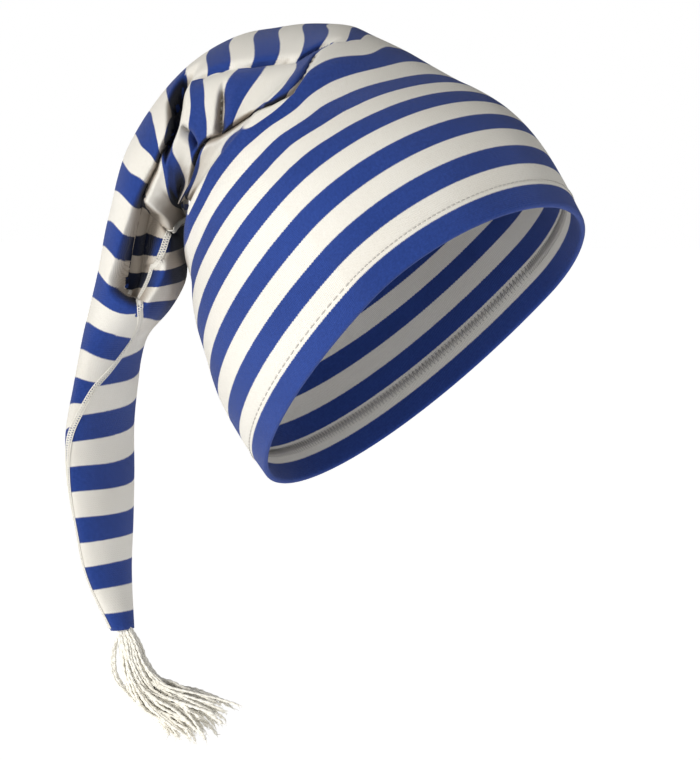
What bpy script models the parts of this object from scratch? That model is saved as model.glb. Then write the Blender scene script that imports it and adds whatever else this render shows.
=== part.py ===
"""Striped nightcap: a fitted jersey crown whose long tail folds over behind the head, with a yarn tassel."""

import math

import bpy
import numpy as np

for old in list(bpy.data.objects):
    bpy.data.objects.remove(old, do_unlink=True)

# Sizes: millimetres and degrees. The origin is on the inner skin at the top of the crown,
# where the head sits, +Z is up and the wearer faces -Y.
MM = 0.001
WALL = 1.6
HEM_WALL = 3.0
STRIPE = 11.0

# Places along the cap, in stripes: the stitching of the hem, the step above it, the end of the hollow, the tip.
HEM_TOP = 1.4
HEM_STEP = 0.35
HOLLOW_END = 40.5
TIP = 42.0

# Points in a ring, how far they crowd towards the folded side, and the row spacing in the folds.
AROUND = 52
CROWDING = 0.5
FOLD_ROWS = 0.64

# Sections of the cap. Stripe 0 is the rim, and each whole number is the next edge between two stripes.
# stripe, centre x, y, z, tilt, turn, half width, reach outwards, reach inwards
SECTIONS = (
    (0, 0, -32, -107, 42.4, 0, 71, 62, 127),
    (2, 0, -18, -92, 42.4, 0, 73, 66, 126),
    (4, 0, -5, -78, 42.4, 0, 76, 67.5, 122.5),
    (6, 0, 7, -64.5, 42.4, 0, 78, 65, 114.5),
    (8, 0, 18.5, -52, 42.4, 0, 77, 59, 106),
    (9, -1, 24.5, -45.5, 42.4, 0, 75, 55, 97.5),
    (10, -6, 32, -39.5, 43, 4, 73, 54, 87),
    (11, -11, 39, -33.5, 44, 11, 70, 53, 76),
    (12, -16.5, 46, -28, 46.5, 20, 63, 51, 66),
    (13, -20.5, 52, -24.5, 49, 28, 54, 50, 58),
    (14, -24.5, 58, -22.5, 52, 33, 48.5, 47, 52),
    (15, -28.5, 64, -22, 56, 35, 47, 44, 47),
    (16, -32, 70, -23, 61, 35, 46.5, 41, 43),
    (17, -35, 76.5, -24.5, 67, 34.5, 45.5, 38.5, 38),
    (18, -37.5, 82.5, -27, 75, 34, 44, 34.5, 34.5),
    (19, -40.5, 88, -31, 84, 33, 42.5, 30.5, 31.5),
    (20, -43, 93, -36, 94, 33, 41, 26.5, 28),
    (21, -45, 97, -41.5, 105, 33, 39, 23, 25.5),
    (22, -46.5, 100.5, -47.5, 117, 32, 37.5, 20, 23.5),
    (23, -47.5, 103.5, -54, 130, 31, 36, 18, 21.5),
    (24, -48.5, 105.5, -62, 143, 30, 34.5, 16.5, 20),
    (25, -49, 107, -70.5, 155, 29, 33, 16, 20),
    (26, -49.5, 108.5, -79.5, 166, 28, 32, 16.5, 20.5),
    (28, -50.5, 111, -100, 174, 26, 29.5, 17.5, 21.5),
    (29, -52, 114, -111, 173, 24, 28, 16, 18),
    (30, -54, 119, -123, 173, 21, 26.5, 12.5, 12.5),
    (31, -55.5, 121.5, -134.5, 176, 17, 26, 10.5, 10.5),
    (32, -56.5, 123, -145.5, 180, 13, 25.5, 9.5, 9.5),
    (34, -58, 125.5, -166.5, 186, 7, 25, 8, 8),
    (36, -58, 125, -188, 190, 4, 23, 7.5, 7.5),
    (38, -58, 123, -210, 190, 4, 19.5, 7, 7),
    (40, -57.5, 121, -232, 189, 4, 15, 6.2, 6.2),
    (42, -55.5, 115, -257, 184, 4, 7, 4.2, 4.2),
)

# Folds pressed into the tail. Each path gives a stripe and an angle round the tube, 0 on its outer side.
# depth, half width, steepness, taper at the ends, path
FOLDS = (
    (6.0, 4.5, 2, 0.15, ((12.3, 334), (13.5, 303), (15.8, 299), (18, 304), (19.1, 307))),
    (9.0, 4.5, 2, 0.10, ((19.1, 306), (19.7, 296), (19.3, 279), (20.5, 267), (22, 258), (24, 247),
                         (25.8, 261), (27.1, 265), (28.6, 244), (29.4, 228))),
    (14.0, 10.0, 4, 0.20, ((23.6, 238), (25.6, 239), (27.3, 243), (28.8, 230))),
    (7.0, 4.0, 2, 0.20, ((19.2, 297), (19.2, 284), (18.7, 267), (18.1, 250))),
    (4.0, 4.5, 2, 0.20, ((16.9, 298), (16.4, 282), (15.8, 267), (15.2, 252))),
    (13.0, 6.0, 2, 0.30, ((15.2, 262), (14.9, 250), (15.4, 242))),
    (6.0, 4.0, 2, 0.25, ((20.3, 261), (20.8, 253), (21, 234), (22.2, 200))),
    (6.0, 4.0, 2, 0.25, ((19.3, 252), (18.3, 232), (16.3, 210))),
    (7.0, 4.5, 2, 0.25, ((23.9, 247), (24, 229), (24.6, 207), (25, 185))),
    (6.0, 5.0, 2, 0.15, ((12.1, 326), (12.2, 300), (12.8, 285), (13.7, 262), (14.6, 248), (15.3, 235),
                         (15.2, 220), (14.6, 200))),
    (1.5, 6.0, 2, 0.20, ((31, 250), (36, 262), (40.5, 266))),
)

# Tassel. Its locks bend from the head towards one side, which lies at this angle in plan.
HEAD_GAP = 0.3
SWEEP = 304.5
HEAD_SIDES = 16
LOCK_SIDES = 8
LOCK_RINGS = 9
LOCK_ROOT = 2.5
LOCK_DROOP = 25
LOCK_BACKSWING = 3
ROOT_SHARE = 0.7
END_SHARE = 0.4
# drop below the tip, shift along the sweep, half width along it, half width across it
HEAD = (
    (0, 0, 4.6, 3.2),
    (2, 0.6, 5.6, 4.2),
    (7, 1.0, 6.4, 5.2),
    (13, 1.4, 6.6, 5.2),
    (17, 2.6, 5.6, 4.2),
)
# start along, bend along, bend drop, end along, end drop, end across, thickness
LOCKS = (
    (-1.9, 12, 33, 20, 46, 0, 3.1),
    (-1.2, 17, 34.5, 26, 48, 2.5, 3),
    (-0.4, 22, 35, 31, 47.5, -2.5, 3),
    (0.4, 26, 34.5, 37, 46, 1.5, 3),
    (1.2, 29, 33, 42, 43, -3.5, 2.9),
    (1.9, 30, 31, 46, 39, 3.5, 2.8),
    (2.6, 29, 29, 48, 35, -1.5, 2.7),
    (3.2, 24, 27, 50, 31.5, 2, 2.6),
)

def smooth(t):
    """Ease from 0 to 1."""
    t = np.clip(t, 0, 1)
    return t * t * (3 - 2 * t)


def section_at(stripe):
    """The row of section values at any stripe, on a smooth curve through the table's rows."""
    rows = np.array(SECTIONS, float)
    x, y = rows[:, 0], rows[:, 1:]
    step = np.diff(x)[:, None]
    slope = np.diff(y, axis=0) / step
    tangent = np.empty_like(y)
    tangent[1:-1] = (step[1:] * slope[:-1] + step[:-1] * slope[1:]) / (step[1:] + step[:-1])
    tangent[0], tangent[-1] = slope[0], slope[-1]
    i = np.clip(np.searchsorted(x, stripe, side="right") - 1, 0, len(x) - 2)
    width = (x[i + 1] - x[i])[..., None]
    t = ((stripe - x[i]) / (x[i + 1] - x[i]))[..., None]
    return ((2 * t**3 - 3 * t**2 + 1) * y[i] + (t**3 - 2 * t**2 + t) * width * tangent[i]
            + (3 * t**2 - 2 * t**3) * y[i + 1] + (t**3 - t**2) * width * tangent[i + 1])


def way_along(stripe, angle, radius, path):
    """Distance on the cloth from a path, and the share of the path passed at its nearest point."""
    nearest = np.full(stripe.shape, 1e9)
    along = np.zeros(stripe.shape)
    legs = len(path) - 1
    for leg in range(legs):
        (stripe_0, angle_0), (stripe_1, angle_1) = path[leg], path[leg + 1]
        down = (stripe - stripe_0) * STRIPE
        across = np.radians((angle - angle_0 + 180) % 360 - 180) * radius
        leg_down = (stripe_1 - stripe_0) * STRIPE
        leg_across = np.radians(angle_1 - angle_0) * radius
        t = np.clip((down * leg_down + across * leg_across) / (leg_down**2 + leg_across**2), 0, 1)
        distance = np.hypot(down - t * leg_down, across - t * leg_across)
        closer = distance < nearest
        nearest = np.where(closer, distance, nearest)
        along = np.where(closer, (leg + t) / legs, along)
    return nearest, along


def fold_depth(stripe, angle, radius, inset):
    """How far the folds press the cloth in at each point. Below the outer skin they are wider by the wall."""
    depth = np.zeros(stripe.shape)
    for deep, half, steepness, taper, path in FOLDS:
        distance, along = way_along(stripe, angle, radius, path)
        ends = smooth(along / taper + 0.25) * smooth((1 - along) / taper + 0.25)
        depth += deep * ends * np.exp(-((distance / (half + inset)) ** steepness))
    return depth


def cap_surface(stripe, angle, inset=0.0):
    """Points of the cap's outer skin in mm, or of a skin that lies inset below it."""
    row = section_at(stripe)
    centre = row[..., :3]
    tilt, turn = np.radians(row[..., 3]), np.radians(row[..., 4])
    half, outer, inner = row[..., 5], row[..., 6], row[..., 7]
    outward = np.stack([np.sin(turn) * np.cos(tilt), -np.cos(turn) * np.cos(tilt), np.sin(tilt)], -1)
    sideways = np.stack([np.cos(turn), np.sin(turn), 0 * turn], -1)
    around = np.radians(angle)
    reach = np.where(np.cos(around) >= 0, outer, inner)
    arm = (outward * (reach * np.cos(around))[..., None]
           + sideways * (half * np.sin(around))[..., None])
    length = np.linalg.norm(arm, axis=-1)
    radius = np.sqrt((half**2 + outer**2) / 2)
    pressed = fold_depth(stripe, angle, radius, inset) + inset
    return centre + arm * np.clip(1 - pressed / length, 0.04, None)[..., None]


# Meshes
def fabric(name, colour, roughness):
    """A cloth or yarn material of one colour."""
    material = bpy.data.materials.new(name)
    material.use_nodes = True
    shader = material.node_tree.nodes["Principled BSDF"]
    shader.inputs["Base Color"].default_value = (*colour, 1)
    shader.inputs["Roughness"].default_value = roughness
    return material


def add_object(name, points, faces, material):
    """A smooth-shaded object from points in millimetres."""
    mesh = bpy.data.meshes.new(name)
    mesh.from_pydata([tuple(float(c) * MM for c in point) for point in points], [], faces)
    mesh.update()
    mesh.shade_smooth()
    mesh.materials.append(material)
    made = bpy.data.objects.new(name, mesh)
    bpy.context.scene.collection.objects.link(made)
    return made


def bridge(faces, first, second, count):
    """Quads between two rings of the same count of points."""
    for i in range(count):
        j = (i + 1) % count
        faces.append((first + i, first + j, second + j, second + i))


def ring_angles(count):
    """Angles round the tube in degrees, closer together on the folded side."""
    turn = np.linspace(0, 2 * math.pi, count, endpoint=False)
    return np.degrees(turn - CROWDING * np.cos(turn))


def cap_rows(end):
    """Stripe positions of the rows of points up to the given end: sparse on the crown, close in the folds."""
    crown = [0, 0.15, 0.7, 2, 3.5, 5, 6.5, 8, 9, 10, 10.8]
    folds = list(np.arange(11.4, 30.4, FOLD_ROWS))
    tail = [31.2, 32.5, 34, 36, 38, 39.8, 41, 41.7, TIP]
    return [row for row in crown + folds + tail if row < end] + [end]


def build_cap(material):
    """The jersey as one wall, doubled at the hem, and open at the rim."""
    angles = ring_angles(AROUND)
    outer = cap_rows(TIP)
    inner = [0, HEM_TOP, HEM_TOP + HEM_STEP] + [row for row in cap_rows(HOLLOW_END) if row >= 2]
    points, faces = [], []
    for row in outer:
        points.extend(cap_surface(np.full(AROUND, float(row)), angles))
    for row in inner:
        wall = HEM_WALL if row <= HEM_TOP else WALL
        points.extend(cap_surface(np.full(AROUND, float(row)), angles, wall))
    for k in range(len(outer) - 1):
        bridge(faces, k * AROUND, (k + 1) * AROUND, AROUND)
    base = len(outer) * AROUND
    for k in range(len(inner) - 1):
        bridge(faces, base + (k + 1) * AROUND, base + k * AROUND, AROUND)
    bridge(faces, base, 0, AROUND)
    for ring, flip in ((len(outer) - 1, False), (len(outer) + len(inner) - 1, True)):
        first = ring * AROUND
        hub = len(points)
        points.append(np.mean(points[first:first + AROUND], axis=0))
        for i in range(AROUND):
            j = (i + 1) % AROUND
            faces.append((first + j, first + i, hub) if flip else (first + i, first + j, hub))
    return add_object("cap", points, faces, material)


def tube(rings):
    """Faces of a closed tube through rings of the same count of points, with a flat fan at each end."""
    count = len(rings[0])
    points = [point for ring in rings for point in ring]
    points += [np.mean(rings[0], axis=0), np.mean(rings[-1], axis=0)]
    faces = []
    for k in range(len(rings) - 1):
        bridge(faces, k * count, (k + 1) * count, count)
    last = (len(rings) - 1) * count
    for i in range(count):
        j = (i + 1) % count
        faces.append((j, i, len(points) - 2))
        faces.append((last + i, last + j, len(points) - 1))
    return points, faces


def build_tassel(material):
    """The yarn head with its locks fused to it."""
    end = cap_surface(np.full(AROUND, TIP), ring_angles(AROUND))
    tip = np.array([end[:, 0].mean(), end[:, 1].mean(), end[:, 2].min() - HEAD_GAP])
    along = np.array([math.cos(math.radians(SWEEP)), math.sin(math.radians(SWEEP)), 0])
    across = np.array([-along[1], along[0], 0])
    down = np.array([0, 0, -1])
    turns = np.linspace(0, 2 * math.pi, HEAD_SIDES, endpoint=False)
    rings = [[tip + down * drop + along * (shift + wide * math.cos(a)) + across * (deep * math.sin(a))
              for a in turns] for drop, shift, wide, deep in HEAD]
    head = add_object("tassel", *tube(rings), material)
    strands = bpy.data.collections.new("tassel locks")
    bpy.context.scene.collection.children.link(strands)
    for number, (start, bend, bend_drop, reach, end_drop, aside, thick) in enumerate(LOCKS):
        knots = [(start, LOCK_ROOT, aside / 3), (2 * start - LOCK_BACKSWING, LOCK_DROOP - start, aside / 2),
                 (bend, bend_drop, aside), (reach, end_drop, aside)]
        rings = []
        for t in np.linspace(0, 1, LOCK_RINGS):
            share = ((1 - t) ** 3, 3 * t * (1 - t) ** 2, 3 * t**2 * (1 - t), t**3)
            slope = (-(1 - t) ** 2, (1 - t) ** 2 - 2 * t * (1 - t), 2 * t * (1 - t) - t**2, t**2)
            middle = sum(w * np.array(knot) for w, knot in zip(share, knots))
            way = sum(w * np.array(knot) for w, knot in zip(slope, knots))
            side = np.array([-way[1], way[0]]) / math.hypot(way[0], way[1])
            radius = thick * np.interp(t, (0, 0.3, 0.6, 1), (ROOT_SHARE, 1, 1, END_SHARE))
            rings.append([tip + along * (middle[0] + radius * side[0] * math.cos(a))
                          + down * (middle[1] + radius * side[1] * math.cos(a))
                          + across * (middle[2] + radius * math.sin(a))
                          for a in np.linspace(0, 2 * math.pi, LOCK_SIDES, endpoint=False) + 0.2 * number])
        lock = add_object(f"lock {number + 1}", *tube(rings), material)
        lock.hide_render = True
        lock.display_type = "WIRE"
        bpy.context.scene.collection.objects.unlink(lock)
        strands.objects.link(lock)
    fuse = head.modifiers.new("fuse locks", "BOOLEAN")
    fuse.operation = "UNION"
    fuse.solver = "EXACT"
    fuse.operand_type = "COLLECTION"
    fuse.collection = strands
    return head


jersey = fabric("striped_jersey", (0.055, 0.12, 0.42), 0.9)
yarn = fabric("tassel_yarn", (0.86, 0.82, 0.72), 0.9)
build_cap(jersey)
build_tassel(yarn)
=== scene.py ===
"""Looks of a striped nightcap: knitted stripes, folds, hem stitching, seam and a yarn tassel."""
import math
from collections import namedtuple

import bpy
import numpy as np
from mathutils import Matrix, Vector
from mathutils.bvhtree import BVHTree


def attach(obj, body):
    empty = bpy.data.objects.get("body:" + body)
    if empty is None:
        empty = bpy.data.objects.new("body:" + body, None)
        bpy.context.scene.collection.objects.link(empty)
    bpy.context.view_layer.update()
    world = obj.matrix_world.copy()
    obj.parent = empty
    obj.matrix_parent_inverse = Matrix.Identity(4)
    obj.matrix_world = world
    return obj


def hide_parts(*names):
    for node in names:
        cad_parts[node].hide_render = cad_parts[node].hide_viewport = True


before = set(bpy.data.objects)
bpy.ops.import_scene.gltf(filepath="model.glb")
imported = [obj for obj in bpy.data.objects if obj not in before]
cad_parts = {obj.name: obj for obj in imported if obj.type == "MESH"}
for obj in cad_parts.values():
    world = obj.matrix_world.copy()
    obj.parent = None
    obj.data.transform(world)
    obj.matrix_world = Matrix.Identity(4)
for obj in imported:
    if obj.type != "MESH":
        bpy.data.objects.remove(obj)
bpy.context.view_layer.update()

# Sizes in mm, in the frame of the model
MM = 0.001
STRIPE = 11.0
WALL = 1.6
HEM_WALL = 3.0

# Places along the cap, in stripes: first row past the round rim, hem's inner edge and its slope, ends
RIM_ROW = 0.14
HEM_TOP = 1.4
HEM_SLOPE = 0.35
HOLLOW_END = 40.5
TIP = 42.0

# Sections of the cap. Stripe 0 is the rim, and each whole number is the next edge of a stripe.
# stripe, centre x, y, z, tilt, turn, half width, reach outwards, reach inwards
SECTIONS = (
    (0, 0, -32, -107, 42.4, 0, 71, 62, 127),
    (2, 0, -18, -92, 42.4, 0, 73, 66, 126),
    (4, 0, -5, -78, 42.4, 0, 76, 67.5, 122.5),
    (6, 0, 7, -64.5, 42.4, 0, 78, 65, 114.5),
    (8, 0, 18.5, -52, 42.4, 0, 77, 59, 106),
    (9, -1, 24.5, -45.5, 42.4, 0, 75, 55, 97.5),
    (10, -6, 32, -39.5, 43, 4, 73, 54, 87),
    (11, -11, 39, -33.5, 44, 11, 70, 53, 76),
    (12, -16.5, 46, -28, 46.5, 20, 63, 51, 66),
    (13, -20.5, 52, -24.5, 49, 28, 54, 50, 58),
    (14, -24.5, 58, -22.5, 52, 33, 48.5, 47, 52),
    (15, -28.5, 64, -22, 56, 35, 47, 44, 47),
    (16, -32, 70, -23, 61, 35, 46.5, 41, 43),
    (17, -35, 76.5, -24.5, 67, 34.5, 45.5, 38.5, 38),
    (18, -37.5, 82.5, -27, 75, 34, 44, 34.5, 34.5),
    (19, -40.5, 88, -31, 84, 33, 42.5, 30.5, 31.5),
    (20, -43, 93, -36, 94, 33, 41, 26.5, 28),
    (21, -45, 97, -41.5, 105, 33, 39, 23, 25.5),
    (22, -46.5, 100.5, -47.5, 117, 32, 37.5, 20, 23.5),
    (23, -47.5, 103.5, -54, 130, 31, 36, 18, 21.5),
    (24, -48.5, 105.5, -62, 143, 30, 34.5, 16.5, 20),
    (25, -49, 107, -70.5, 155, 29, 33, 16, 20),
    (26, -49.5, 108.5, -79.5, 166, 28, 32, 16.5, 20.5),
    (28, -50.5, 111, -100, 174, 26, 29.5, 17.5, 21.5),
    (29, -52, 114, -111, 173, 24, 28, 16, 18),
    (30, -54, 119, -123, 173, 21, 26.5, 12.5, 12.5),
    (31, -55.5, 121.5, -134.5, 176, 17, 26, 10.5, 10.5),
    (32, -56.5, 123, -145.5, 180, 13, 25.5, 9.5, 9.5),
    (34, -58, 125.5, -166.5, 186, 7, 25, 8, 8),
    (36, -58, 125, -188, 190, 4, 23, 7.5, 7.5),
    (38, -58, 123, -210, 190, 4, 19.5, 7, 7),
    (40, -57.5, 121, -232, 189, 4, 15, 6.2, 6.2),
    (42, -55.5, 115, -257, 184, 4, 7, 4.2, 4.2),
)
Section = namedtuple("Section", "centre tilt turn half outer inner")

# Creases of the tail. Each path gives a stripe and an angle round the tube, 0 on its outer side. Of a path
# that runs towards the tip, the high side is that of larger angles. A crease begins and ends over a share
# of its path, and has a width and a flat floor on each side. One that splits the cloth hides some of it,
# so that the stripes of its two sides don't meet.
Fold = namedtuple("Fold", "depth begins ends high_width high_floor low_width low_floor splits path")
CHANNEL_EDGE = ((23.6, 257), (24.3, 260), (25.3, 263), (26.2, 267), (26.9, 272), (27.4, 277), (27.8, 280),
                (28.15, 275), (28.35, 263), (28.5, 250), (28.6, 238), (28.7, 226))
FOLDS = (
    # the ridge along the top
    Fold(5, 0.15, 0.15, 5, 0, 12, 0, True,
         ((12.2, 335), (12.9, 320), (13.5, 303), (14.7, 300), (15.8, 300), (16.9, 301), (18, 303),
          (18.9, 305))),
    # the pinch between the crown and the tail
    Fold(10, 0.6, 0.3, 5, 0, 3.5, 0, True,
         ((11.6, 347), (11.85, 340), (12, 333), (12.5, 325), (12.9, 318), (12.5, 311), (11.2, 304),
          (10.6, 299), (10.9, 289), (11.7, 278), (13.6, 263), (14.2, 256), (14.9, 248), (16, 245),
          (16.3, 239), (16.1, 228), (15.6, 213), (14.3, 198), (13.5, 185))),
    # the hole at its top
    Fold(7, 0.5, 0.5, 3, 0, 3, 0, False, ((12.9, 316), (12.3, 312), (11.6, 308))),
    # pleats of the near side
    Fold(10, 0.45, 0.1, 3.4, 0, 8, 0, False,
         ((17, 295), (16.6, 280), (16.2, 268), (15.7, 257), (14.9, 247))),
    Fold(9, 0.3, 0.2, 5, 0, 4, 0, False, ((19, 272), (18.2, 259), (17.2, 247), (16.4, 238))),
    # the edge of the outer fold: a deep pocket, the leaves, the channel and its top
    Fold(18, 0.25, 0.1, 4, 0, 5, 6, True,
         ((19, 330), (19.3, 316), (19.6, 301), (19.55, 284), (19.6, 271), (20, 265), (20.6, 262))),
    Fold(12, 0.2, 0.2, 4, 0, 5, 0, True,
         ((19.6, 271), (20, 265), (20.6, 262), (21.6, 256), (23, 256), (24.3, 260), (25.3, 262))),
    Fold(19, 0.12, 0.12, 4, 0, 10, 16, True, CHANNEL_EDGE),
    Fold(7, 0.15, 0.2, 5, 0, 3, 0, True,
         ((23.6, 257), (24.4, 248), (24.6, 235), (24.7, 222), (25, 212), (25, 192))),
)
# However deep its creases, a section keeps this share of its reach
LEAST_REACH = 0.04

# Soft swells, the last one a hollow: height, half width, share of the path to taper over, path
SWELLS = (
    (2, 7, 0.35, ((18.5, 178), (20.5, 172), (22.5, 172), (25, 178))),
    (1.5, 6, 0.3, ((19.6, 245), (20.6, 232), (21.8, 222))),
    (5, 7, 0.35, ((14.2, 205), (15.5, 196), (17.5, 190))),
    (9, 11, 0.3, ((17, 137), (19.5, 141), (21.5, 147), (24, 151))),
    (3, 9, 0.3, ((13.4, 205), (14.2, 203), (15.2, 202), (16.4, 200))),
    (1, 9, 0.3, ((9, 238), (10.2, 237), (11, 236), (12, 236))),
    (-2.4, 16, 0.35, ((17, 345), (21, 345), (26, 345), (31, 345))),
)

# The lengthwise seam: a stripe and an angle round the tube for each of its turns
SEAM = ((0, 180), (10.5, 180), (15, 168), (20, 166), (23, 176), (24.4, 199), (25.2, 213), (26.3, 218),
        (27, 225), (28.3, 232), (28.75, 235), (29, 230), (29.45, 213), (29.75, 205), (30.1, 199),
        (30.5, 203), (31, 210), (31.5, 219), (32, 234), (32.6, 242), (33.2, 248), (33.9, 260),
        (34.5, 268), (35.5, 276), (37.5, 285), (42, 290))

# Shifts on the hidden side of the tail: stripe, shift at its front end, shift at its rear end
BACK_SHIFTS = ((11, 0, 0), (13, 0.2, -0.1), (15, 0.1, -0.15), (17, 0.3, -0.2), (19, 0.7, -0.2), (21, 0.8, 0),
               (23, 0.65, 0.1), (25, 0.7, -0.4), (27, 0.65, -0.8), (29, 0.55, -0.55), (31, 0.6, -0.75),
               (33, 0.2, -1.1), (35, -0.3, -1.4), (37, -0.75, -1.6), (39, -1.3, -1.6), (41, -1.4, -1.45))
# Where those shifts are set: angle, share of the way from the front end to the rear end
BACK_PLACES = ((20, 0.17), (60, 0.39), (100, 0.61), (140, 0.83))

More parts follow.
